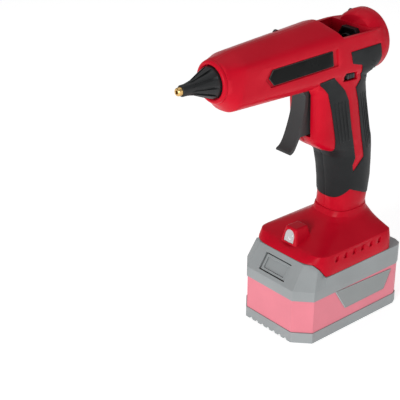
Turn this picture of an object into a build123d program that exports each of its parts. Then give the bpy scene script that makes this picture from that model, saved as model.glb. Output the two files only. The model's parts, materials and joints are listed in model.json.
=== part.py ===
"""Battery hot-glue gun: a tapered barrel with a finned nozzle, a pistol grip, a feed lever and a
slide-on battery pack. Millimetres. X runs from the nozzle (-) to the rear (+), Y across, Z up from
the face the pack stands on. The mid-plane is Y = 0 and the left side is -Y."""

import os
from functools import cache
from math import atan2, cos, degrees, hypot, pi, radians, sin

from build123d import *

# Glue stick and the axis it runs along.
STICK_D = 11.0
AXIS_Z = 222.5
STICK_BORE_R = STICK_D / 2 + 0.4

# Overall places.
NOZZLE_TIP_X = -101.9
BARREL_FRONT_X = -60.0
WINDOW_FRONT_X = 26.0
WINDOW_BACK_X = 68.5
WINDOW_FLOOR_Z = 236.0
COLLAR_REAR_X = 85.0
COLLAR_R = 23.5
COLLAR_Z = 222.0
BARREL_REAR_X = 60.0
NOSE_R = 15.6
GUIDE_R = 13.0
NECK_SEAM_Z = 89.5
FOOT_SIDE_Z = 54.8
FOOT_FRONT_Z = 64.8
FOOT_CREASE_Z = 70.7
FOOT_MID_X = 48.0
PACK_FRONT_X = -11.0
PACK_REAR_X = 101.9
PACK_HALF_W = 38.0
PACK_BASE_Z = 9.0
PACK_BAND_Z = 37.5
PACK_DECK_Z = 54.4

# Walls and gaps.
WALL = 2.4
SLIDE_GAP = 0.4
RECESS = 1.5
RUBBER_PROUD = 0.45

# Feed lever and carriage.
PIVOT_X = 12.0
PIVOT_Z = 201.0
PIN_R = 2.0
PIN_GAP = 0.05
FORK_REACH = AXIS_Z - PIVOT_Z
FEED_TRAVEL = 4.9
DRIVE_PIN_R = 1.8

# Release button: centre of its pocket on the sloping front, and the slope's lean.
BUTTON_PLACE = (-5.2, 0, 54.6)
BUTTON_TILT = 34

RING_POINTS = 40


# Shape helpers

def block(x, y, z):
    """Box from three (low, high) pairs."""
    size = [high - low for low, high in (x, y, z)]
    middle = [(low + high) / 2 for low, high in (x, y, z)]
    return Pos(*middle) * Box(*size)


def rod(axis, start, length, radius):
    """Cylinder along "X", "Y" or "Z" from a start point."""
    turn = {"X": Rot(0, 90, 0), "Y": Rot(-90, 0, 0), "Z": Rot(0, 0, 0)}[axis]
    return Pos(*start) * turn * Cylinder(radius, length, align=(Align.CENTER, Align.CENTER, Align.MIN))


def tube(axis, start, length, outer, inner):
    return rod(axis, start, length, outer) - rod(axis, start, length, inner)


def lathe(profile, height=AXIS_Z):
    """Turned solid about the X axis at a height, from (x, radius) points."""
    face = Face(Wire.make_polygon([(x, 0, height + r) for x, r in profile]))
    return Part() + revolve(face, Axis((0, 0, height), (1, 0, 0)), 360)


def side_cut(points, low_y, high_y):
    """Prism of an (x, z) outline between two Y values."""
    face = Face(Wire.make_polygon([(x, low_y, z) for x, z in points]))
    return Part() + Solid.extrude(face, Vector(0, high_y - low_y, 0))


def slab(points, low_z, high_z):
    """Prism of an (x, y) outline between two Z values."""
    face = Face(Wire.make_polygon([(x, y, low_z) for x, y in points]))
    return Part() + Solid.extrude(face, Vector(0, 0, high_z - low_z))


def stack(rings):
    """Solid through closed rings, straight from each to the next."""
    return Part() + Solid.make_loft(rings, ruled=True)


def soft_radius(angle, planes, sharpness):
    """Radius at an angle of the rounded outline that flat sides (angle, distance) bound."""
    total = 0.0
    for side_angle, distance in planes:
        facing = cos(radians(angle - side_angle))
        if facing > 0:
            total += (facing / distance) ** sharpness
    return total ** (-1 / sharpness)


def closed_ring(points):
    return Wire([Edge.make_spline(points, periodic=True)])


# Outer forms

def taper(x, front, rear):
    """Value on the barrel's straight taper, from its front corner to the window."""
    share = (x - BARREL_FRONT_X) / (WINDOW_FRONT_X - BARREL_FRONT_X)
    return front + share * (rear - front)


def barrel_ring(x, grow=0.0, roundness=0.0, round_r=NOSE_R, lean=0.0):
    """Barrel section: gabled roof, upright sides, chamfered underside, blended to a circle.

    A lean carries the top of the section back and its bottom forward."""
    roof = taper(x, 19.7, 24.6) + grow
    side = taper(x, 18.8, 21.9) + grow
    chamfer = taper(x, 22.1, 25.0) + grow
    floor = taper(x, 21.8, 24.6) + grow
    planes = [(67, roof), (113, roof), (0, side), (180, side), (-48, chamfer), (-132, chamfer), (-90, floor)]
    middle = AXIS_Z - 1.5 * (1 - roundness)
    points = []
    for i in range(RING_POINTS):
        angle = 360 * i / RING_POINTS
        r = (1 - roundness) * soft_radius(angle, planes, 12) + roundness * (round_r + grow)
        rise = r * sin(radians(angle))
        points.append((x + lean * rise / 20, r * cos(radians(angle)), middle + rise))
    return closed_ring(points)


def barrel(grow=0.0, front=-70.0, rear=BARREL_REAR_X):
    """Nose cone, its rounded front corner and the tapered barrel."""
    stations = [
        (-70.0, 1.0, 0.0), (-66.0, 0.66, 1.4), (-62.0, 0.32, 2.8), (-59.4, 0.11, 3.7), (-57.4, 0.02, 4.0),
        (-54.5, 0.0, 3.9), (-49.0, 0.0, 3.0)
    ]
    rings = [barrel_ring(x, grow, mix, lean=lean) for x, mix, lean in stations if x >= front]
    rings.append(barrel_ring(rear, grow))
    return stack(rings)


def barrel_tail(grow=0.0):
    """Barrel's rear, turning from its flat sides to the collar's round ones."""
    stations = [(BARREL_REAR_X, 0.0), (64.0, 0.04), (70.0, 0.35), (75.0, 0.75), (80.0, 1.0)]
    return stack([barrel_ring(x, grow, mix, COLLAR_R) for x, mix in stations])


def collar(grow=0.0):
    """Round collar behind the stick window."""
    r = COLLAR_R + grow
    front = WINDOW_BACK_X - grow
    rear = COLLAR_REAR_X + grow
    outline = [
        (front, 0), (front, r - 3.6), (front + 1.2, r - 2.3), (front + 5.0, r - 0.6), (front + 7.5, r),
        (rear - 2.6, r), (rear - 0.9, r - 0.9), (rear, r - 2.8), (rear, 0)
    ]
    return lathe(outline, COLLAR_Z)


def oval_ring(z, front, back, half_width, power, back_power=None):
    """Level super-ellipse section of the handle, squarer in front than behind."""
    middle = (front + back) / 2
    reach = (back - front) / 2
    points = []
    for i in range(RING_POINTS):
        angle = 2 * pi * i / RING_POINTS
        c = cos(angle)
        s = sin(angle)
        bend = back_power if back_power and c > 0 else power
        r = (abs(c / reach) ** bend + abs(s / half_width) ** bend) ** (-1 / bend)
        points.append((middle + r * c, r * s, z))
    return closed_ring(points)


# Handle sections: height, front, back, half width, squareness in front and behind.
HANDLE = [
    (212.0, 15.0, 79.0, 20.2, 5.0, 2.6),
    (200.0, 13.4, 77.6, 20.4, 5.0, 2.2),
    (193.5, 17.3, 76.8, 20.2, 5.0, 2.1),
    (181.0, 17.8, 78.6, 19.8, 5.0, 2.2),
    (170.5, 18.2, 81.0, 19.4, 4.8, 2.3),
    (158.5, 18.8, 84.3, 19.0, 4.4, 2.3),
    (153.5, 21.4, 85.5, 18.8, 4.0, 2.3),
    (149.5, 25.6, 86.5, 18.6, 3.7, 2.3),
    (146.2, 31.0, 87.4, 18.4, 3.4, 2.3),
    (143.6, 37.2, 87.9, 18.2, 3.2, 2.2),
    (137.4, 42.0, 88.9, 18.0, 3.0, 2.1),
    (124.0, 44.8, 90.1, 17.7, 2.8, 2.0),
    (112.0, 46.6, 90.2, 17.5, 2.8, 2.0),
    (97.0, 47.9, 88.2, 17.2, 2.8, 2.0),
    (NECK_SEAM_Z, 47.4, 86.4, 17.2, 2.9, 2.1),
]


def handle(grow=0.0, low_z=NECK_SEAM_Z):
    rings = []
    for z, front, back, half_width, power, back_power in HANDLE:
        if z >= low_z:
            rings.append(oval_ring(z, front - grow, back + grow, half_width + grow, power, back_power))
    return stack(rings)


@cache
def outer_form(grow=0.0):
    """Whole gun above the foot, grown or shrunk all round."""
    return barrel(grow) + barrel_tail(grow) + collar(grow) + handle(grow)


def foot_outline(planes, z):
    """Level outline around the foot's middle from flat sides given as (angle, distance)."""
    points = []
    for i in range(RING_POINTS * 2):
        angle = 360 * i / (RING_POINTS * 2)
        r = soft_radius(angle, planes, 26)
        points.append((FOOT_MID_X + r * cos(radians(angle)), r * sin(radians(angle)), z))
    return closed_ring(points)


def plan_sides(front, chamfer, corner, side, rear_corner, rear):
    """Flat sides of a pack-shaped outline, from the front (180 degrees) round to the rear (0)."""
    planes = [(180, front), (0, rear)]
    for sign in (1, -1):
        planes += [
            (180 - sign * 33, chamfer), (180 - sign * 58, corner), (sign * 90, side), (sign * 45, rear_corner)
        ]
    return planes


# Foot's skirt: height, then the flat sides' distances from its middle as plan_sides takes them.
FOOT_SKIRT = [
    (52.0, 46.8, 54.1, 52.0, 38.0, 54.6, 41.8),
    (FOOT_FRONT_Z, 46.6, 52.8, 50.5, 37.4, 54.4, 41.9),
    (FOOT_CREASE_Z, 40.2, 50.0, 49.8, 35.9, 53.8, 41.6),
]
# Foot's shoulders and neck, as the handle's sections.
FOOT_NECK = [
    (78.6, 32.0, 89.6, 24.4, 3.2, 3.0),
    (82.2, 40.8, 88.6, 19.6, 3.0, 2.6),
    (85.0, 45.2, 87.4, 18.0, 2.9, 2.2),
    (NECK_SEAM_Z, 46.6, 86.8, 17.6, 2.9, 2.1),
]


def foot_form(grow=0.0):
    """Battery foot: leaning skirt, sloping shoulders and the flare up to the neck."""
    rings = []
    for z, *distances in FOOT_SKIRT:
        rings.append(foot_outline(plan_sides(*[distance + grow for distance in distances]), z))
    for z, front, back, half_width, power, back_power in FOOT_NECK:
        rings.append(oval_ring(z, front - grow, back + grow, half_width + grow, power, back_power))
    return stack(rings)


# Zones on the side of the gun, as (x, z) outlines

GRIP_ZONE = [
    (14.5, 206.4), (27.6, 208.0), (40.5, 195.0), (45.4, 186.0), (51.6, 161.1), (59.5, 134.9), (57.3, 128.5),
    (58.7, 123.2), (69.1, 133.5), (62.2, 161.7), (56.9, 183.1), (52.5, 194.7), (58.4, 199.9), (55.0, 212.4),
    (45.0, 215.2), (42.3, 224.6), (72.8, 225.4), (75.8, 214.5), (77.0, 203.0), (100, 196), (100, 94), (76, 99.6),
    (57, 108.2), (44, 97.5), (25, 97.5), (25, 140.5), (36.8, 144.0), (36.3, 149.1), (34.6, 157.7),
    (28.6, 180.5), (23.8, 195.9)
]
BADGE_ZONE = [(-32.3, 227.4), (24.2, 229.0), (25.9, 217.2), (-31.1, 215.6), (-36.0, 221.6)]
SWITCH_ZONE = [(39.8, 208.7), (51.4, 207.6), (53.3, 201.0), (38.1, 202.0)]
SWITCH_FACE_Y = 20.3


def scaled(points, factor):
    """Outline scaled about its middle."""
    mid_x = sum(x for x, z in points) / len(points)
    mid_z = sum(z for x, z in points) / len(points)
    return [(mid_x + (x - mid_x) * factor, mid_z + (z - mid_z) * factor) for x, z in points]


def grown(points, gap):
    """Outline grown about its middle by a gap on its shorter extent."""
    extent = min(max(p[i] for p in points) - min(p[i] for p in points) for i in (0, 1))
    return scaled(points, 1 + 2 * gap / extent)


# Screw places: x, z and the depth of the screw's seat from the mid-plane.
SCREWS = [
    (-40, 205.5, 13.6), (0, 239, 14.5), (30, 210.2, 19.4), (54, 174, 18.6), (56, 94.5, 15.6), (76, 240.5, 12.4)
]


# Housing

def housing_cavity():
    """Hollow inside the two halves."""
    bore = barrel(-WALL, front=-58.3, rear=WINDOW_BACK_X - 2.0)
    grip = handle(-WALL - 0.2)
    drum = rod("X", (WINDOW_BACK_X + 3.0, 0, COLLAR_Z), COLLAR_REAR_X - WINDOW_BACK_X - 5.6, COLLAR_R - WALL)
    return bore + grip + drum


def housing_cuts():
    """Openings through the two halves."""
    ledge = [(WINDOW_FRONT_X - 1.0, 250), (34.7, WINDOW_FLOOR_Z), (80.0, WINDOW_FLOOR_Z), (80.0, 250)]
    window = side_cut(ledge, -30, 30) - collar()
    nose = rod("X", (-72, 0, AXIS_Z), 17.6, 11.7)
    guide_seat = hex_bar(WINDOW_BACK_X - 3.0, WINDOW_BACK_X + 4.0, GUIDE_R + 0.1)
    inlet = lathe([(81, 0), (81, 7.2), (83.4, 7.6), (86, 10.6), (86, 0)])
    lever_floor = block((5.0, PIVOT_X + 5.5), (-8.2, 8.2), (188, 204.5))
    hood_slot = side_cut([(10, 200.5), (24.0, 200.5), (24.4, 159.6), (10, 159.6)], -8.2, 8.2)
    switches = side_cut(SWITCH_ZONE, -25, -5)
    badge = side_cut(grown(BADGE_ZONE, 0.9), -30, 30) - barrel(-1.2, front=-49)
    return [window, nose, guide_seat, inlet, lever_floor, hood_slot, switches, badge, grip_layer(1.0, 0.0)]


def hex_bar(x0, x1, circum_r):
    """Flat-topped hexagonal bar round the stick's axis."""
    corners = [(circum_r * cos(radians(60 * i)), circum_r * sin(radians(60 * i))) for i in range(6)]
    face = Face(Wire.make_polygon([(x0, y, AXIS_Z + z) for y, z in corners]))
    return Part() + Solid.extrude(face, Vector(x1 - x0, 0, 0))


def housing():
    """Both halves as one solid, with bosses and pin seats, before the split."""
    body = outer_form() - housing_cavity()
    inside = outer_form(-1.0)
    for x, z, half in SCREWS:
        body += rod("Y", (x, -half - 4, z), 2 * half + 8, 3.0) & inside
    seats = rod("Y", (PIVOT_X, -13, PIVOT_Z), 4.7, 4.6) + rod("Y", (PIVOT_X, 8.3, PIVOT_Z), 4.7, 4.6)
    body += seats & inside
    for x in (-53.8, -14.0):
        ring = block((x, x + 2.2), (-30, 30), (180, 260)) & inside
        body += ring - rod("X", (x - 1, 0, AXIS_Z), 5, 15.2)
    for cut in housing_cuts():
        body -= cut
    body -= rod("Y", (PIVOT_X, -10.9, PIVOT_Z), 21.8, PIN_R)
    for x, z, half in SCREWS:
        body -= rod("Y", (x, -half + 2.0, z), 2 * half, 1.25)
        body -= rod("Y", (x, half - 3.0, z), 30, 3.0)
    return body


def largest(shape):
    """Biggest solid of a shape."""
    return Part() + max(shape.solids(), key=lambda solid: solid.volume)


def halves(shape):
    """The left (-Y) and right (+Y) parts of a shape."""
    left = shape & block((-200, 200), (-100, 0), (-50, 300))
    right = shape & block((-200, 200), (0, 100), (-50, 300))
    return left, right


def grip_layer(proud, gap):
    """Skin of the grip inside its zone, from the recess out to a height above the shell."""
    skin = outer_form(proud) - outer_form(-RECESS)
    return skin & side_cut(grown(GRIP_ZONE, -gap), -30, 30)


def grips():
    return grip_layer(RUBBER_PROUD, 0.05) - hex_bar(60.0, 76.0, GUIDE_R + 0.1)


def badge():
    skin = barrel(-0.25, front=-49) - barrel(-1.15, front=-49)
    return skin & side_cut(BADGE_ZONE, -30, 30)


def screws():
    """Six self-tapping screws in the right half."""
    out = []
    for x, z, half in SCREWS:
        head = rod("Y", (x, half - 3.0, z), 2.0, 2.8)
        shank = rod("Y", (x, -half + 3.5, z), 2 * half - 6.5, 1.24)
        drive = rod("Y", (x, half - 2.0, z), 1.5, 1.1)
        out.append(head + shank - drive)
    return out


# Nozzle and melt chamber

def nose_ring():
    profile = [
        (-70.0, 11.9), (-71.8, 12.0), (-72.5, 12.6), (-72.7, 13.5), (-72.3, 14.5), (-71.4, 15.2), (-70.0, NOSE_R - 0.1)
    ]
    return lathe(profile)


def brass_nozzle():
    body = [
        (NOZZLE_TIP_X, 0), (NOZZLE_TIP_X, 2.2), (-101.2, 2.9), (-98.4, 3.1), (-95.0, 2.7), (-84.0, 4.6),
        (-80.0, 6.2), (-73.0, 6.2), (-73.0, 4.5), (-64.0, 4.5), (-64.0, 0)
    ]
    channel = [
        (-103, 0), (-103, 1.4), (-98.0, 1.1), (-89, 1.1), (-88, 2.6), (-80, 2.6), (-79, 1.9), (-78, 3.0),
        (-63, 3.0), (-63, 0)
    ]
    return lathe(body) - lathe(channel)


def nozzle_sleeve():
    """Silicone jacket with lengthwise fins, flaring back to a rim."""
    flare = [
        (-98.6, 3.6), (-97.9, 4.1), (-94.0, 4.2), (-88.0, 5.4), (-82.0, 7.9), (-77.0, 10.0), (-73.6, 11.2),
        (-71.2, 11.4), (-66.2, 11.4)
    ]
    inner = [(-66.2, 8.9), (-70.5, 7.6), (-73.2, 6.4), (-80.4, 6.4), (-84.2, 4.8), (-95.0, 2.9), (-98.6, 3.2)]
    body = lathe(flare + inner)
    fins = 10
    for i in range(fins):
        groove = lathe([
            (-95.0, 4.3), (-92.0, 7.0), (-74.6, 14.0), (-73.6, 11.0), (-76.6, 8.6), (-82.0, 6.9), (-88.0, 4.7)
        ])
        wedge = block((-96, -73), (-1.0, 1.0), (AXIS_Z, AXIS_Z + 14))
        body -= groove & (Pos(0, 0, AXIS_Z) * Rot(360 * (i + 0.5) / fins, 0, 0) * Pos(0, 0, -AXIS_Z) * wedge)
    return body


def heat_chamber():
    """Aluminium melt tube with a heater pocket under it."""
    tube_body = lathe([
        (-72.6, 4.6), (-72.6, 6.0), (-66, 8.4), (-10, 8.4), (-10, STICK_BORE_R), (-63.6, STICK_BORE_R), (-63.6, 4.6)
    ])
    pocket = block((-51, -20), (-6.5, 6.5), (AXIS_Z - 12.5, AXIS_Z - 6.5)) - rod("X", (-61, 0, AXIS_Z), 42, 7.4)
    slot = block((-52, -19), (-5.0, 5.0), (AXIS_Z - 11.7, AXIS_Z - 9.1))
    fins = [block((x, x + 1.2), (-9.5, 9.5), (AXIS_Z - 2, AXIS_Z + 10.5)) for x in (-49, -44, -39, -34, -29)]
    solid = tube_body + pocket - slot
    for fin in fins:
        solid += fin - rod("X", (-61, 0, AXIS_Z), 42, 7.4)
    return solid


def heater_clip():
    """Sprung steel strap round the chamber."""
    band = tube("X", (-26.5, 0, AXIS_Z), 5.0, 9.0, 8.45)
    return band - block((-28, -20), (-7.0, 7.0), (AXIS_Z - 14, AXIS_Z - 4.5))


def coil(axis, start, length, mean_r, wire_r, turns):
    """Closed helical spring of round wire, ends inset by the wire's radius."""
    free = length - 2 * wire_r
    path = Edge.make_helix(pitch=free / turns, height=free, radius=mean_r)
    profile = Plane(origin=path @ 0, z_dir=path % 0) * Circle(wire_r)
    spring = sweep(profile, path=path, is_frenet=True)
    turn = {"X": Rot(0, 90, 0), "Z": Rot(0, 0, 0)}[axis]
    return Part() + (Pos(*start) * turn * Pos(0, 0, wire_r) * spring)


def check_ball():
    return Part() + Pos(-80.6, 0, AXIS_Z) * Sphere(2.2)


def inlet_sleeve():
    """Silicone throat between the chamber and the carriage."""
    return lathe([(-16, 8.45), (-16, 10.4), (-2, 10.4), (1.0, 9.4), (1.0, STICK_BORE_R), (-9.8, STICK_BORE_R), (-9.8, 8.45)])


# Feed mechanism

def feed_carriage():
    """Sliding frame round the stick, with a drive pin on each side."""
    frame = block((10.0, 25.0), (-9.4, 9.4), (AXIS_Z - 9.2, AXIS_Z + 9.6)) - rod("X", (9, 0, AXIS_Z), 17, 6.6)
    frame -= block((16.0, 26.0), (-4.2, 4.2), (AXIS_Z - 10, AXIS_Z - 4))
    drive_x = PIVOT_X + FEED_TRAVEL / 2
    frame -= block((drive_x + 2.6, 26), (-10, -7.6), (AXIS_Z - 10, AXIS_Z + 10))
    frame -= block((drive_x + 2.6, 26), (7.6, 10), (AXIS_Z - 10, AXIS_Z + 10))
    return frame + rod("Y", (drive_x, -12.0, AXIS_Z), 24.0, DRIVE_PIN_R) - rod("X", (9, 0, AXIS_Z), 17, 6.6)


def jaw():
    """Toothed pawl under the stick."""
    outline = [(17.2, 211.9), (24.0, 212.4), (24.6, 215.9), (23.6, 215.0), (22.6, 215.9), (21.6, 215.0), (20.6, 215.4), (17.2, 214.9)]
    return side_cut(outline, -3.6, 3.6) - rod("Y", (18.6, -4, 213.4), 8, 0.75)


def jaw_pin():
    return rod("Y", (18.6, -5.6, 213.4), 11.2, 0.7)


def trigger():
    """Curved finger lever, its hub and the fork that drives the carriage."""
    front = [
        (13.4, 197.5), (13.2, 188), (12.0, 179), (9.3, 169.4), (6.3, 161.4), (3.0, 155.4), (0.6, 153.2), (-1.0, 152.6)
    ]
    back = [
        (-1.7, 151.0), (0.2, 150.1), (3.0, 151.3), (6.0, 155.6), (9.6, 162.3), (13.4, 171), (15.5, 179),
        (16.3, 188), (16.4, 197.5)
    ]
    outline = [Edge.make_spline([(x, 0, z) for x, z in run]) for run in (front, back)]
    outline.insert(1, Edge.make_line((front[-1][0], 0, front[-1][1]), (back[0][0], 0, back[0][1])))
    outline.append(Edge.make_line((back[-1][0], 0, back[-1][1]), (front[0][0], 0, front[0][1])))
    face = Face(Wire(outline))
    lever = Part() + extrude(face, amount=7.0, dir=(0, 1, 0), both=True)
    web_outline = [(15.0, 196.6), (15.0, 186), (13.8, 176), (10.4, 166), (9.0, 161.4), (25.0, 161.4), (25.6, 196.6)]
    web = side_cut(web_outline, -6.2, 6.2)
    root = side_cut([(13.5, 193.0), (16.3, 193.0), (16.0, 203), (10, 203), (9.4, 199.0)], -6.8, 6.8)
    hub = rod("Y", (PIVOT_X, -7.8, PIVOT_Z), 15.6, 3.9)
    neck = side_cut([(9.0, 203), (15.0, 203), (15.6, 208.8), (9.0, 208.8)], -7.8, 7.8)
    yoke = side_cut([(9.0, 206.6), (15.4, 206.6), (15.6, 208.8), (9.0, 208.8)], -11.8, 11.8)
    lever = lever + web + root + hub + neck + yoke
    for y in (-11.8, 9.7):
        lever += side_cut([(9.0, 206.6), (15.4, 206.6), (18.6, 227.4), (10.2, 227.4)], y, y + 2.1)
    lever -= rod("Y", (PIVOT_X, -13, PIVOT_Z), 26, PIN_R + PIN_GAP)
    drive_x = PIVOT_X + FEED_TRAVEL / 2
    slot = block((-DRIVE_PIN_R - 0.15, DRIVE_PIN_R + 0.15), (-14, 14), (FORK_REACH - 2.6, FORK_REACH + 7.5))
    lean = degrees(atan2(drive_x - PIVOT_X, FORK_REACH))
    return lever - Pos(PIVOT_X, 0, PIVOT_Z) * Rot(0, lean, 0) * slot


def trigger_pin():
    return rod("Y", (PIVOT_X, -10.8, PIVOT_Z), 21.6, PIN_R)


def stick_cradle():
    """Half-pipe that carries the stick under the window."""
    pipe = tube("X", (27.5, 0, AXIS_Z), 34.5, 8.6, 7.0) - block((20, 70), (-10, 10), (AXIS_Z, AXIS_Z + 10))
    feet = block((40, 60), (-1.2, 1.2), (AXIS_Z - 12.5, AXIS_Z - 8.0))
    return pipe + feet


def stick_guide():
    """Hexagonal bush in the collar's front wall."""
    bush = hex_bar(62.4, WINDOW_BACK_X + 3.9, GUIDE_R) - hex_bar(61, 65.0, GUIDE_R - 2.2)
    bush += tube("X", (60.5, 0, AXIS_Z), 7.0, 6.9, STICK_BORE_R)
    return bush - rod("X", (55, 0, AXIS_Z), 25, STICK_BORE_R)


def inlet_funnel():
    return lathe([(78.5, 6.3), (78.5, 7.1), (83.4, 7.5), (85.0, 9.0), (85.0, 8.2), (82.0, 6.3)])


# Switch

def switch_slider():
    """Thumb slider with grip ribs."""
    slider = block((43.0, 50.0), (-SWITCH_FACE_Y + 0.2, -15.6), (202.9, 206.4))
    for x in (44.2, 46.0, 47.8):
        slider -= block((x, x + 0.9), (-21, -SWITCH_FACE_Y + 0.9), (202, 207))
    return slider + block((45.0, 48.0), (-15.7, -13.4), (203.6, 205.6))


def switch_body():
    body = block((37.5, 56.0), (-14.8, -9.0), (200.6, 208.8))
    return body - block((41.0, 52.0), (-16, -12.6), (203.0, 206.2))


# Electronics in the handle and foot

def control_board():
    return block((62.0, 63.6), (-11.5, 11.5), (112, 168))


def board_parts():
    """Power transistor, relay and capacitor on the board."""
    relay = block((63.6, 72.0), (-7, 7), (146, 162))
    transistor = block((63.6, 67.6), (-8, -2), (128, 142))
    capacitor = rod("X", (63.6, 5.0, 134), 9.0, 4.0)
    return [relay, transistor, capacitor]


def wire_run(points, radius):
    """Round lead through points, with bends as large as the runs allow."""
    bends = []
    for i in range(1, len(points) - 1):
        before = hypot(*[points[i][k] - points[i - 1][k] for k in range(3)])
        after = hypot(*[points[i + 1][k] - points[i][k] for k in range(3)])
        a = Vector(*points[i]) - Vector(*points[i - 1])
        b = Vector(*points[i + 1]) - Vector(*points[i])
        turn = radians(a.get_angle(b))
        bends.append(0.45 * min(before, after) * cos(turn / 2) / sin(turn / 2))
    path = FilletPolyline(*points, radius=bends) if bends else Polyline(*points)
    profile = Plane(origin=path @ 0, z_dir=path % 0) * Circle(radius)
    return Part() + sweep(profile, path=path)


def heater_leads():
    """Two leads from the board to the heater and two from the foot to the board."""
    leads = []
    for y in (-3.0, 3.0):
        up = [
            (61.2, y, 163), (60.0, y, 176), (55, y, 184), (45, y, 194), (31, y, 206.0), (16.5, y, 211.2),
            (4, y, 210.4), (-11, y, 210.0), (-18.8, y, 211.4)
        ]
        down = [(66, y, 111.6), (68, y, 100), (70, y * 1.6, 86), (77.5, y * 2.0, 77), (80.5, y * 2.0, 70.6)]
        leads.append(wire_run(up, 0.8))
        leads.append(wire_run(down, 0.9))
    return leads


# Foot

RAIL_FRONT_X = 24.0
RAIL_REAR_X = 76.0


def led_hood(grow=0.0):
    """Raised hood over the work light."""
    low = [(7.2 - grow, 9.4 + grow, 68.0), (10.8 - grow, 5.8 + grow, 83.6 + grow)]
    rear = [(28.0, 9.4 + grow, 68.0), (24.0, 5.8 + grow, 83.6 + grow)]
    wires = []
    for (xf, half, z), (xr, half_r, zr) in zip(low, rear):
        wires.append(Wire.make_polygon([(xf, -half, z), (xf, half, z), (xr, half_r, zr), (xr, -half_r, zr)]))
    hood = Part() + Solid.make_loft(wires, ruled=True)
    return fillet(hood.edges().filter_by(lambda e: e.center().Z > 70 and e.center().X < 30), 2.2)


def foot_cut():
    """Space under the foot's front that the pack's latch block fills."""
    lean = (13.6 - 6.0) / (FOOT_FRONT_Z - FOOT_SIDE_Z)
    low_x = 13.6 + lean * 6
    return side_cut([(-10, FOOT_FRONT_Z), (6.0, FOOT_FRONT_Z), (low_x, FOOT_SIDE_Z - 6), (-10, FOOT_SIDE_Z - 6)], -45, 45)


def foot_shell():
    """Red foot with slide rails inside and a row of vents on each side."""
    solid = foot_form() + (led_hood() & block((0, 34), (-20, 20), (66, 90)))
    hollow = foot_form(-2.6) & block((-10, 110), (-50, 50), (50, 84))
    solid -= hollow
    solid -= oval_hole(80, 95)
    solid -= block((-20, 110), (-50, 50), (40, FOOT_SIDE_Z))
    solid -= foot_cut()
    for side in (-1, 1):
        rail = block((RAIL_FRONT_X, 84.0), (21.6, 25.6), (FOOT_SIDE_Z + 0.4, 58.4))
        rail += block((RAIL_FRONT_X, 84.0), (25.6, 36.4), (FOOT_SIDE_Z + 0.4, 64.6))
        solid += rail if side > 0 else rail.mirror(Plane.XZ)
        for i in range(6):
            x = 22.5 + 9.6 * i
            outline = [(x, 64.0), (x + 3.4, 64.3), (x + 4.8, 68.4), (x + 1.4, 68.1)]
            solid -= side_cut(outline, 36.0 * side if side > 0 else -42, 42 if side > 0 else -36.0)
    solid -= light_arch(5.2, 71.7)
    solid -= block((12.6, 22.0), (-4.8, 4.8), (66.0, 80.6))
    return solid


def oval_hole(low, high):
    """Passage up into the handle."""
    ring = oval_ring(low, 51.0, 83.0, 13.4, 2.6)
    return Part() + Solid.extrude(Face(ring), Vector(0, 0, high - low))


def light_arch(half_width, low_z):
    """Arched bar through the hood's front, for the work light's window."""
    return block((4.0, 13.0), (-half_width, half_width), (low_z, 76.6)) + rod("X", (4.0, 0, 76.6), 9.0, half_width)


def led_lens():
    """Arched lens leaning back with the hood's front."""
    return light_arch(5.05, 71.8) & side_cut([(8.4, 71.0), (11.2, 82.0), (12.4, 82.0), (12.4, 71.0)], -6, 6)


def led_board():
    board = block((14.0, 15.2), (-4.5, 4.5), (71.0, 79.4))
    return board + rod("X", (13.3, 0, 76), 0.8, 1.6)


def terminal_block():
    return block((77.4, 84.6), (-19, 19), (FOOT_SIDE_Z + 0.3, 70.0))


def terminal_blades():
    return [block((66.0, 77.4), (y - 0.4, y + 0.4), (56.6, 61.0)) for y in (-13.5, -4.5, 4.5, 13.5)]


# Battery pack

def pack_outline(inset=0.0):
    """Plan of the pack, chamfered at the front and rounded off at the rear."""
    half = [
        (PACK_FRONT_X + inset, 0.0), (PACK_FRONT_X + inset, 25.6 - inset * 0.6), (0.6 + inset, PACK_HALF_W - inset),
        (PACK_REAR_X - 7 - inset * 0.5, PACK_HALF_W - inset), (PACK_REAR_X - 2 - inset, PACK_HALF_W - 2.5 - inset * 0.6),
        (PACK_REAR_X - inset, PACK_HALF_W - 8 - inset * 0.3), (PACK_REAR_X - inset, 0.0)
    ]
    return [p for p in half if p[1] > 0] + [(x, -y) for x, y in reversed(half) if y > 0]


def pack_wall(low_z, high_z, wall, inset=0.0):
    return slab(pack_outline(inset), low_z, high_z) - slab(pack_outline(inset + wall), low_z - 1, high_z + 1)


def latch_block_form(inset=0.0):
    """Sloping front of the pack above the level of the button's foot."""
    low = [
        (PACK_FRONT_X + inset, 25.6 - inset), (0.6 + inset, PACK_HALF_W - inset), (34.0, PACK_HALF_W - inset)
    ]
    high = [(1.4 + inset, 24.4 - inset), (8.6 + inset, 34.2 - inset), (34.0, 35.4 - inset)]
    wires = []
    for ring, z in ((low, 46.0), (high, FOOT_FRONT_Z - SLIDE_GAP - inset * 0.6)):
        wires.append(Wire.make_polygon([(x, y, z) for x, y in ring + [(x, -y) for x, y in reversed(ring)]]))
    return Part() + Solid.make_loft(wires, ruled=True)


def latch_clear():
    """What the foot's sloping front edge needs clear of the latch block."""
    top = FOOT_FRONT_Z - SLIDE_GAP
    outline = [
        (6.0 - SLIDE_GAP, FOOT_FRONT_Z + 1), (6.0 - SLIDE_GAP, top), (13.6 - SLIDE_GAP, PACK_DECK_Z),
        (40, PACK_DECK_Z), (40, FOOT_FRONT_Z + 1)
    ]
    return side_cut(outline, -45, 45)


def button_pocket(grow=0.0):
    """Pocket in the sloping front, as a bar along the slope's normal."""
    pocket = block((-6, 9.0), (-13.6 - grow, 13.6 + grow), (-6.9 - grow, 6.9 + grow))
    return Pos(*BUTTON_PLACE) * Rot(0, BUTTON_TILT, 0) * pocket


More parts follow.
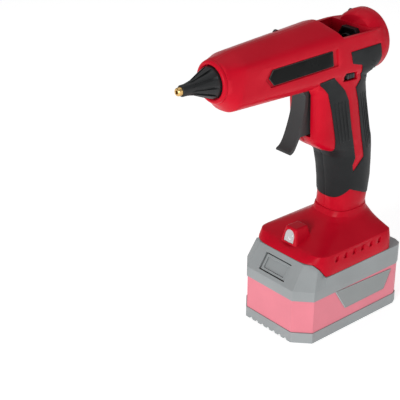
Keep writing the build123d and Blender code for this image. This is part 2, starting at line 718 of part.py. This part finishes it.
def pack_top():
    """Grey upper case: latch block, deck and the rail tower the foot slides on."""
    shell = slab(pack_outline(), PACK_BAND_Z, 46.0) + (slab(pack_outline(), 45.9, PACK_DECK_Z) & block((13.0, 110), (-50, 50), (40, 60)))
    shell += latch_block_form() - latch_clear()
    hollow = slab(pack_outline(WALL), PACK_BAND_Z - 1, PACK_DECK_Z - WALL) & block((10, 110), (-50, 50), (30, 60))
    hollow += slab(pack_outline(WALL), PACK_BAND_Z - 1, 42.4) & block((-20, 12), (-50, 50), (30, 60))
    shell -= hollow
    tower = block((RAIL_FRONT_X + 2, RAIL_REAR_X), (-21.0, 21.0), (PACK_DECK_Z - 0.5, 62.4))
    tower += block((RAIL_FRONT_X + 2, RAIL_REAR_X), (-25.0, 25.0), (59.0, 62.4))
    for y in (-13.5, -4.5, 4.5, 13.5):
        tower -= block((60.0, RAIL_REAR_X + 1), (y - 0.9, y + 0.9), (56.0, 63.0))
    shell += tower
    shell -= button_pocket(0.4)
    return shell


def release_button():
    """Dished release pad, sunk in its pocket."""
    pad = block((1.2, 5.0), (-13.2, 13.2), (-6.5, 6.5)) - block((0, 2.4), (-11.0, 11.0), (-4.6, 4.6))
    return Pos(*BUTTON_PLACE) * Rot(0, BUTTON_TILT, 0) * pad


def button_spring():
    spring = coil("X", (0, 0, 0), 3.6, 3.0, 0.35, 2)
    return Pos(*BUTTON_PLACE) * Rot(0, BUTTON_TILT, 0) * Pos(5.2, 0, 0) * spring


def pack_band():
    return pack_wall(PACK_BASE_Z, PACK_BAND_Z, WALL, inset=0.6)


def pack_base():
    tray = slab(pack_outline(), 0, PACK_BASE_Z) - slab(pack_outline(WALL), WALL, PACK_BASE_Z + 1)
    for i in range(7):
        y = -19.5 + 6.5 * i
        tray -= rod("X", (PACK_FRONT_X - 1, y, 0), 6.5, 1.7)
    return tray


def pack_cells():
    """Ten cells, two layers of five."""
    cells = []
    for layer in range(2):
        for i in range(5):
            cells.append(rod("Y", (10.4 + 19.2 * i, -32.5, 12.2 + 19.0 * layer), 65, 9.1))
    return cells


def pack_label(side):
    """Side plate standing just proud of the band."""
    outline = [(24.2, 37.2), (89.9, 34.4), (82.0, 18.4), (36.5, 18.1)]
    inner = PACK_HALF_W - 0.6
    low, high = (inner, PACK_HALF_W) if side > 0 else (-PACK_HALF_W, -inner)
    return side_cut(outline, low, high)


def pack_contacts():
    return [block((60.4, 75.0), (y + 0.5, y + 0.85), (56.2, 61.6)) for y in (-13.5, -4.5, 4.5, 13.5)]


def build():
    left, right = halves(housing())
    grip_left, grip_right = halves(grips())
    badge_left, badge_right = halves(badge())
    return {
        "housing_left": largest(left),
        "housing_right": largest(right),
        "grip_left": largest(grip_left),
        "grip_right": largest(grip_right),
        "badge_left": badge_left,
        "badge_right": badge_right,
        "housing_screws": Compound(screws()),
        "nose_ring": nose_ring(),
        "brass_nozzle": brass_nozzle(),
        "nozzle_sleeve": nozzle_sleeve(),
        "check_ball": check_ball(),
        "ball_spring": coil("X", (-87.9, 0, AXIS_Z), 4.9, 2.0, 0.3, 4),
        "heat_chamber": heat_chamber(),
        "heater_element": block((-50.5, -20), (-4.8, 4.8), (AXIS_Z - 11.6, AXIS_Z - 9.2)),
        "heater_clip": heater_clip(),
        "front_insulator": tube("X", (-53.6, 0, AXIS_Z), 1.8, 15.1, 8.45),
        "inlet_sleeve": inlet_sleeve(),
        "sleeve_clamp": tube("X", (-8.0, 0, AXIS_Z), 4.0, 11.0, 10.42),
        "feed_carriage": feed_carriage(),
        "feed_jaw": jaw(),
        "jaw_pin": jaw_pin(),
        "carriage_spring": coil("X", (1.2, 0, AXIS_Z), 8.6, 8.2, 0.5, 3),
        "trigger": trigger(),
        "trigger_pin": trigger_pin(),
        "stick_cradle": stick_cradle(),
        "stick_guide": stick_guide(),
        "inlet_funnel": inlet_funnel(),
        "switch_slider": switch_slider(),
        "switch_body": switch_body(),
        "control_board": control_board(),
        "board_parts": Compound(board_parts()),
        "wiring": Compound(heater_leads()),
        "foot_shell": foot_shell(),
        "led_lens": led_lens(),
        "led_board": led_board(),
        "terminal_block": terminal_block(),
        "terminal_blades": Compound(terminal_blades()),
        "pack_top": pack_top(),
        "pack_band": pack_band(),
        "pack_base": pack_base(),
        "pack_cells": Compound(pack_cells()),
        "pack_contacts": Compound(pack_contacts()),
        "pack_label_left": pack_label(-1),
        "pack_label_right": pack_label(1),
        "release_button": release_button(),
        "button_spring": button_spring(),
    }


def main():
    os.makedirs("parts", exist_ok=True)
    for name, shape in build().items():
        export_step(shape, f"parts/{name}.step")


main()
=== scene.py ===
"""Battery hot-glue gun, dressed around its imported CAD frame. Metres, Z up, nozzle towards -X."""

import json
import math

import bpy
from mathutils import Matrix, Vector
from mathutils.bvhtree import BVHTree


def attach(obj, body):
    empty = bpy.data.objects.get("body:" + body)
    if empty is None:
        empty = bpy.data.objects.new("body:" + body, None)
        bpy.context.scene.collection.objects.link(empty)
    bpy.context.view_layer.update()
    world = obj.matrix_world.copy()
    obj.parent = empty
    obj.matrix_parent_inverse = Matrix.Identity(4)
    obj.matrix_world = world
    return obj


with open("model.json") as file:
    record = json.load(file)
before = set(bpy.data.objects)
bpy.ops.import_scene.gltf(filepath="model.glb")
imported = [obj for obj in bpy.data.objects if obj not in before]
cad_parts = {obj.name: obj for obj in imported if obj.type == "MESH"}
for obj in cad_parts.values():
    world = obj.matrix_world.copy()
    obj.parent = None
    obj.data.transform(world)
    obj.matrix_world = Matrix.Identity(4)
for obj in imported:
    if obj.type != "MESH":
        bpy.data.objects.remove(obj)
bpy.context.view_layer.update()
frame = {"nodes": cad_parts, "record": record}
nodes = frame["nodes"]
MM = 0.001


# Materials

def new_material(name):
    mat = bpy.data.materials.new(name)
    mat.use_nodes = True
    tree = mat.node_tree
    shader = tree.nodes["Principled BSDF"]
    return mat, tree, shader


def link(tree, source, target):
    tree.links.new(source, target)


def object_coords(tree, scale=1.0):
    coords = tree.nodes.new("ShaderNodeTexCoord")
    mapping = tree.nodes.new("ShaderNodeMapping")
    mapping.inputs["Scale"].default_value = (scale, scale, scale)
    link(tree, coords.outputs["Object"], mapping.inputs["Vector"])
    return mapping.outputs["Vector"]


def noise(tree, vector, scale, detail=3.0, rough=0.5):
    node = tree.nodes.new("ShaderNodeTexNoise")
    node.inputs["Scale"].default_value = scale
    node.inputs["Detail"].default_value = detail
    node.inputs["Roughness"].default_value = rough
    link(tree, vector, node.inputs["Vector"])
    return node.outputs["Fac"]


def remap(tree, value, low, high, from_low=0.3, from_high=0.7):
    node = tree.nodes.new("ShaderNodeMapRange")
    node.inputs["From Min"].default_value = from_low
    node.inputs["From Max"].default_value = from_high
    node.inputs["To Min"].default_value = low
    node.inputs["To Max"].default_value = high
    link(tree, value, node.inputs["Value"])
    return node.outputs["Result"]


def blend_colours(tree, factor, first, second):
    node = tree.nodes.new("ShaderNodeMix")
    node.data_type = "RGBA"
    node.inputs["A"].default_value = (*first, 1)
    node.inputs["B"].default_value = (*second, 1)
    link(tree, factor, node.inputs["Factor"])
    return node.outputs["Result"]


def bump(tree, shader, height, strength, distance):
    node = tree.nodes.new("ShaderNodeBump")
    node.inputs["Strength"].default_value = strength
    node.inputs["Distance"].default_value = distance
    link(tree, height, node.inputs["Height"])
    link(tree, node.outputs["Normal"], shader.inputs["Normal"])


def moulded(
    name, colour, roughness=0.4, grain=1400.0, grain_depth=0.00006, strength=0.25, mottle=0.06, specular=0.5
):
    """Moulded plastic: fine spark-eroded grain, slow colour drift, uneven gloss, and a painted highlight that makes
    the convex edges paler.
    """
    mat, tree, shader = new_material(name)
    vector = object_coords(tree)
    drift = noise(tree, vector, 28.0, 4.0)
    dark = [c * (1 - mottle) for c in colour]
    light = [min(1.0, c * (1 + mottle) + 0.004) for c in colour]
    body = blend_colours(tree, remap(tree, drift, 0, 1), dark, light)
    # Painted highlight: convex edges (high pointiness) get a paler base colour where light would catch them.
    geometry_node = tree.nodes.new("ShaderNodeNewGeometry")
    edge = remap(tree, geometry_node.outputs["Pointiness"], 0.0, 0.35, 0.53, 0.62)
    painted_edge_highlight = tree.nodes.new("ShaderNodeMix")
    painted_edge_highlight.data_type = "RGBA"
    painted_edge_highlight.inputs["B"].default_value = (*[min(1.0, c * 1.25 + 0.02) for c in colour], 1)
    link(tree, edge, painted_edge_highlight.inputs["Factor"])
    link(tree, body, painted_edge_highlight.inputs["A"])
    link(tree, painted_edge_highlight.outputs["Result"], shader.inputs["Base Color"])
    smear = noise(tree, vector, 60.0, 5.0, 0.6)
    link(tree, remap(tree, smear, roughness - 0.05, roughness + 0.07), shader.inputs["Roughness"])
    shader.inputs["Specular IOR Level"].default_value = specular
    bump(tree, shader, noise(tree, vector, grain, 2.0, 0.5), strength, grain_depth)
    return mat


def metal(name, colour, roughness=0.25, along=(1, 1, 1), scale=900.0):
    """Machined or drawn metal: lines along the work, with a little tarnish."""
    mat, tree, shader = new_material(name)
    vector = object_coords(tree)
    stretch = tree.nodes.new("ShaderNodeMapping")
    stretch.inputs["Scale"].default_value = along
    link(tree, vector, stretch.inputs["Vector"])
    lines = noise(tree, stretch.outputs["Vector"], scale, 2.0)
    tarnish = noise(tree, vector, 90.0, 4.0)
    dull = [c * 0.72 for c in colour]
    link(tree, blend_colours(tree, remap(tree, tarnish, 0, 1), dull, colour), shader.inputs["Base Color"])
    shader.inputs["Metallic"].default_value = 1.0
    link(tree, remap(tree, lines, roughness - 0.06, roughness + 0.1), shader.inputs["Roughness"])
    bump(tree, shader, lines, 0.15, 0.00005)
    return mat


def clear_plastic():
    """Clear work-light lens with faint moulding ripples."""
    mat, tree, shader = new_material("clear_lens")
    shader.inputs["Base Color"].default_value = (0.95, 0.96, 0.97, 1)
    shader.inputs["Transmission Weight"].default_value = 0.55
    shader.inputs["IOR"].default_value = 1.49
    vector = object_coords(tree)
    link(tree, remap(tree, noise(tree, vector, 500.0), 0.1, 0.3), shader.inputs["Roughness"])
    bump(tree, shader, noise(tree, vector, 260.0, 1.0), 0.3, 0.0003)
    return mat


RED = (0.5, 0.0006, 0.014)
red_shell = moulded("red_shell", RED, 0.34, specular=0.09)
rubber = moulded("grip_rubber", (0.011, 0.0125, 0.0135), 0.5, 900.0, 0.0001, 0.4, specular=0.16)
black_plate = moulded("black_plate", (0.0025, 0.003, 0.003), 0.3, 2200.0, 0.00003, 0.1, specular=0.08)
black_plastic = moulded("black_plastic", (0.008, 0.008, 0.009), 0.4, specular=0.25)
trigger_grey = moulded("trigger_grey", (0.036, 0.037, 0.038), 0.42, specular=0.25)
black_silicone = moulded("black_silicone", (0.012, 0.013, 0.014), 0.4, 700.0, 0.00008, 0.25, specular=0.3)
pack_grey = moulded("pack_grey", (0.285, 0.305, 0.31), 0.5, specular=0.25)
pack_pink = moulded("pack_pink", (0.70, 0.205, 0.255), 0.5, specular=0.25)
pack_plate = moulded("pack_plate", (0.22, 0.24, 0.24), 0.35, 2200.0, 0.00003, 0.1)
plate_rim = moulded("plate_rim", (0.42, 0.44, 0.44), 0.4)
badge_rim = moulded("badge_rim", (0.045, 0.03, 0.03), 0.35)
brass = metal("brass", (0.80, 0.52, 0.20), 0.24, (40, 1, 1))
steel = metal("bright_steel", (0.62, 0.62, 0.64), 0.2)
dark_steel = metal("screw_steel", (0.12, 0.12, 0.125), 0.35)
spring_steel = metal("spring_steel", (0.5, 0.5, 0.52), 0.3)
aluminium = metal("aluminium", (0.74, 0.75, 0.76), 0.38)
copper = metal("contact_copper", (0.80, 0.48, 0.26), 0.3)
insulator = moulded("insulator", (0.25, 0.13, 0.06), 0.6)
nylon = moulded("grey_nylon", (0.16, 0.16, 0.17), 0.5)
ceramic = moulded("heater_ceramic", (0.62, 0.58, 0.48), 0.6)
white_silicone = moulded("clear_silicone", (0.62, 0.62, 0.58), 0.5)
board = moulded("board_green", (0.01, 0.09, 0.035), 0.35)
wire_skin = moulded("wire_silicone", (0.42, 0.01, 0.01), 0.45)
cell_wrap = moulded("cell_wrap", (0.02, 0.09, 0.32), 0.3)
lens = clear_plastic()

MATERIALS = {
    "red_shell": red_shell, "grip_rubber": rubber, "black_plate": black_plate, "black_plastic": black_plastic,
    "trigger_grey": trigger_grey, "black_silicone": black_silicone, "pack_grey": pack_grey, "pack_pink": pack_pink,
    "pack_plate": pack_plate, "brass": brass, "bright_steel": steel, "screw_steel": dark_steel,
    "spring_steel": spring_steel, "aluminium": aluminium, "contact_copper": copper, "insulator": insulator,
    "grey_nylon": nylon, "heater_ceramic": ceramic, "clear_silicone": white_silicone, "board_green": board,
    "wire_silicone": wire_skin, "cell_wrap": cell_wrap, "clear_lens": lens,
}


def paint(obj, mat):
    obj.data.materials.clear()
    obj.data.materials.append(mat)


for part in frame["record"]["subparts"]:
    paint(nodes[part["node"]], MATERIALS[part["material_slot"]])


def soften(name, width, segments=2, angle=32):
    """Small moulded radius on a part's sharp edges."""
    obj = nodes[name]
    weld = obj.modifiers.new("weld", "WELD")
    weld.merge_threshold = 0.002 * MM
    bevel = obj.modifiers.new("edge", "BEVEL")
    bevel.width = width * MM
    bevel.segments = segments
    bevel.limit_method = "ANGLE"
    bevel.angle_limit = math.radians(angle)
    bevel.harden_normals = True
    bevel.miter_outer = "MITER_ARC"


SOFT_EDGES = {
    "housing_left": 0.5, "housing_right": 0.5, "foot_shell": 0.5, "trigger": 0.9, "pack_top": 0.6, "pack_base": 0.5,
    "pack_band": 0.2, "release_button": 0.4, "nose_ring": 0.3, "nozzle_sleeve": 0.25, "brass_nozzle": 0.15,
    "grip_left": 0.3, "grip_right": 0.3, "badge_left": 0.2, "badge_right": 0.2, "switch_slider": 0.2,
    "stick_guide": 0.5, "inlet_funnel": 0.3, "pack_label_left": 0.15, "pack_label_right": 0.15, "led_lens": 0.3,
}
for part_name, radius in SOFT_EDGES.items():
    soften(part_name, radius)


for plate, rim, width in (
    ("pack_label_left", plate_rim, 0.5), ("pack_label_right", plate_rim, 0.5),
    ("badge_left", badge_rim, 0.35), ("badge_right", badge_rim, 0.35),
):
    nodes[plate].data.materials.append(rim)
    nodes[plate].modifiers["edge"].width = width * MM
    nodes[plate].modifiers["edge"].material = 1


# Raised ribs on the rubber: points across each one, how bluntly it ends, and how deep it is sunk in millimetres

RIB_SIDES = 5
RIB_END = 0.35
RIB_SUNK = 0.1


def skin_of(node):
    """Search tree over a node's surface, in the row frame."""
    obj = nodes[node]
    corners = [obj.matrix_world @ vertex.co for vertex in obj.data.vertices]
    return BVHTree.FromPolygons(corners, [face.vertices for face in obj.data.polygons])


def rib(name, skin, side, start, end, width, height, samples=14):
    """Low half-round rib on the skin's side (-1 left, 1 right) between two (x, z) places in millimetres.

    Both ends run out into the surface."""
    places = []
    for i in range(samples):
        share = i / (samples - 1)
        x = (start[0] + (end[0] - start[0]) * share) * MM
        z = (start[1] + (end[1] - start[1]) * share) * MM
        hit, normal, _, _ = skin.ray_cast(Vector((x, side * 0.06, z)), Vector((0, -side, 0)))
        if hit is None:
            return None
        places.append((hit, normal, math.sin(math.pi * share) ** RIB_END))
    points = []
    for i, (hit, normal, rise) in enumerate(places):
        along = places[min(i + 1, samples - 1)][0] - places[max(i - 1, 0)][0]
        across = along.normalized().cross(normal).normalized()
        for step in range(RIB_SIDES):
            turn = math.pi * step / (RIB_SIDES - 1)
            out = normal * (math.sin(turn) * height * rise - RIB_SUNK) * MM
            points.append(hit + across * (math.cos(turn) * width / 2 * MM) + out)
    first = list(range(RIB_SIDES))
    faces = [first[::-1], [len(points) - RIB_SIDES + step for step in first]]
    for i in range(samples - 1):
        for step in first:
            a = RIB_SIDES * i + step
            b = RIB_SIDES * i + (step + 1) % RIB_SIDES
            faces.append([a, b, b + RIB_SIDES, a + RIB_SIDES])
    mesh = bpy.data.meshes.new(name)
    mesh.from_pydata(points, [], faces)
    mesh.shade_smooth()
    obj = bpy.data.objects.new(name, mesh)
    bpy.context.scene.collection.objects.link(obj)
    paint(obj, rubber)
    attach(obj, "root")
    return obj


def between(a, b, share):
    return a[0] + (b[0] - a[0]) * share, a[1] + (b[1] - a[1]) * share


FRONT_STRIP_TOP = ((27.6, 188.0), (44.0, 188.0))
FRONT_STRIP_FOOT = ((37.6, 151.0), (53.2, 151.0))
REAR_STRIP_TOP = ((57.2, 190.0), (74.0, 190.0))
REAR_STRIP_FOOT = ((71.6, 138.0), (85.0, 138.0))
# Places of the ribs across each strip, from its front edge (0) to its rear edge (1).
FRONT_SHARES = (0.18, 0.4, 0.62, 0.84)
REAR_SHARES = (0.12, 0.3, 0.48, 0.66)
SLANT_RIBS = 6
SLANT_LOW_Z = 193.5
SLANT_STEP = 3.3

for side, half in ((-1, "left"), (1, "right")):
    skin = skin_of("grip_" + half)
    for i, share in enumerate(FRONT_SHARES):
        rib(f"front_rib_{half}_{i}", skin, side, between(*FRONT_STRIP_TOP, share),
            between(*FRONT_STRIP_FOOT, share), 1.7, 0.65)
    for i, share in enumerate(REAR_SHARES):
        rib(f"rear_rib_{half}_{i}", skin, side, between(*REAR_STRIP_TOP, share),
            between(*REAR_STRIP_FOOT, share), 1.5, 0.6)
    for i in range(SLANT_RIBS):
        z = SLANT_LOW_Z + SLANT_STEP * i
        rib(f"slant_rib_{half}_{i}", skin, side, (62.5 + 0.4 * i, z + 4.0), (72.0, z), 1.2, 0.45, 8)


# Stage, light and camera

CAMERA_PLACE = (-0.5354, -0.5361, 0.4840)
CAMERA_AZIMUTH = -40.25
CAMERA_ELEVATION = 26.3
CAMERA_LENS = 100.0
FLOOR_HALF = 30


def make_stage():
    mesh = bpy.data.meshes.new("floor")
    turns = [(-1, -1), (1, -1), (1, 1), (-1, 1)]
    mesh.from_pydata([(FLOOR_HALF * x, FLOOR_HALF * y, 0) for x, y in turns], [], [(0, 1, 2, 3)])
    floor = bpy.data.objects.new("floor", mesh)
    bpy.context.scene.collection.objects.link(floor)
    mat, _, shader = new_material("floor_paint")
    shader.inputs["Base Color"].default_value = (0.96, 0.96, 0.96, 1)
    shader.inputs["Roughness"].default_value = 0.9
    shader.inputs["Emission Color"].default_value = (1, 1, 1, 1)
    shader.inputs["Emission Strength"].default_value = 0.48
    mesh.materials.append(mat)


def area_light(name, place, target, size, power, tint=(1, 1, 1)):
    data = bpy.data.lights.new(name, "AREA")
    data.shape = "DISK"
    data.size = size
    data.energy = power
    data.color = tint
    lamp = bpy.data.objects.new(name, data)
    lamp.location = place
    aim = Vector(target) - Vector(place)
    lamp.rotation_euler = aim.to_track_quat("-Z", "Y").to_euler()
    bpy.context.scene.collection.objects.link(lamp)


def make_camera():
    azimuth = math.radians(CAMERA_AZIMUTH)
    elevation = math.radians(CAMERA_ELEVATION)
    level = math.cos(elevation)
    away = Vector((math.sin(azimuth) * level, -math.cos(azimuth) * level, math.sin(elevation)))
    data = bpy.data.cameras.new("camera")
    data.sensor_width = 36.0
    data.lens = CAMERA_LENS
    data.clip_end = 100
    camera = bpy.data.objects.new("camera", data)
    camera.location = CAMERA_PLACE
    camera.rotation_euler = (-away).to_track_quat("-Z", "Y").to_euler()
    bpy.context.scene.collection.objects.link(camera)
    bpy.context.scene.camera = camera


make_stage()
area_light("key", (-1.4, -0.5, 0.45), (0, 0, 0.14), 0.7, 12.5)
area_light("fill", (0.5, -1.6, 0.5), (0, 0, 0.12), 1.0, 2.2)
area_light("top", (0.1, 0.3, 1.7), (0, 0, 0.12), 1.4, 4)
world = bpy.data.worlds.new("studio")
world.use_nodes = True
world.node_tree.nodes["Background"].inputs["Color"].default_value = (1, 1, 1, 1)
world.node_tree.nodes["Background"].inputs["Strength"].default_value = 0.4
bpy.context.scene.world = world
make_camera()
bpy.context.scene.view_settings.view_transform = "Standard"
